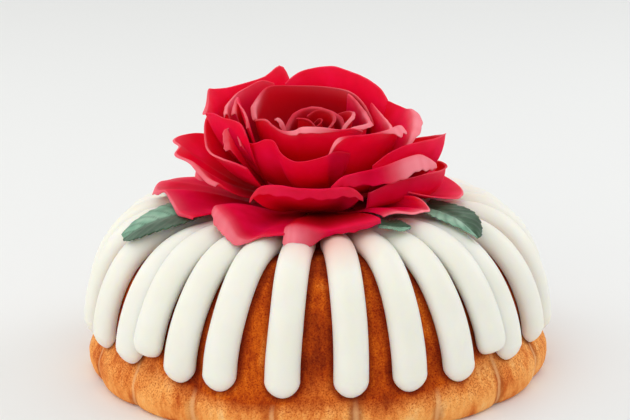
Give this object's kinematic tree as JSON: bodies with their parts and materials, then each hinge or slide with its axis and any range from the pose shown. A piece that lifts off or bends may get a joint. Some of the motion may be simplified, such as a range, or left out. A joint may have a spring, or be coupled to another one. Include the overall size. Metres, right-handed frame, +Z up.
{
  "type": "bundt cake",
  "caption": "Ring-shaped bundt cake with thick piped icing ropes over its crown and a red silk rose with leaves on top.",
  "frame": {"origin": "middle of the base, on the surface that the cake stands on", "axes": "+Z up through the hole of the ring; -Y towards the front of the picture; +X to its right"},
  "size_m": [0.2542, 0.2534, 0.1539],
  "materials": {
    "sponge": "baked golden brown crumb, matt, stands in for sponge cake",
    "icing": "smooth cream icing, soft sheen, stands in for cream cheese icing",
    "rose_silk": "red silk cloth with paler rolled edges",
    "leaf_cloth": "grey-green cloth with darker veins"
  },
  "bodies": {
    "root": {"sponge": "sponge", "icing_rope_01": "icing", "icing_rope_02": "icing", "icing_rope_03": "icing", "icing_rope_04": "icing", "icing_rope_05": "icing", "icing_rope_06": "icing", "icing_rope_07": "icing", "icing_rope_08": "icing", "icing_rope_09": "icing", "icing_rope_10": "icing", "icing_rope_11": "icing", "icing_rope_12": "icing", "icing_rope_13": "icing", "icing_rope_14": "icing", "icing_rope_15": "icing", "icing_rope_16": "icing", "icing_rope_17": "icing", "icing_rope_18": "icing", "icing_rope_19": "icing", "icing_rope_20": "icing", "icing_rope_21": "icing", "icing_rope_22": "icing", "icing_rope_23": "icing", "icing_rope_24": "icing", "icing_rope_25": "icing", "icing_rope_26": "icing", "icing_rope_27": "icing", "icing_rope_28": "icing", "rose_heart": "rose_silk", "rose_petal_01": "rose_silk", "rose_petal_02": "rose_silk", "rose_petal_03": "rose_silk", "rose_petal_04": "rose_silk", "rose_petal_05": "rose_silk", "rose_petal_06": "rose_silk", "rose_petal_07": "rose_silk", "rose_petal_08": "rose_silk", "rose_petal_09": "rose_silk", "rose_petal_10": "rose_silk", "rose_petal_11": "rose_silk", "rose_petal_12": "rose_silk", "rose_petal_13": "rose_silk", "rose_petal_14": "rose_silk", "rose_petal_15": "rose_silk", "rose_petal_16": "rose_silk", "rose_petal_17": "rose_silk", "rose_petal_18": "rose_silk", "rose_petal_19": "rose_silk", "rose_petal_20": "rose_silk", "rose_petal_21": "rose_silk", "rose_petal_22": "rose_silk", "rose_petal_23": "rose_silk", "rose_petal_24": "rose_silk", "rose_petal_25": "rose_silk", "rose_petal_26": "rose_silk", "rose_petal_27": "rose_silk", "leaf_left": "leaf_cloth", "leaf_right": "leaf_cloth", "leaf_front": "leaf_cloth"}
  },
  "joints": []
}
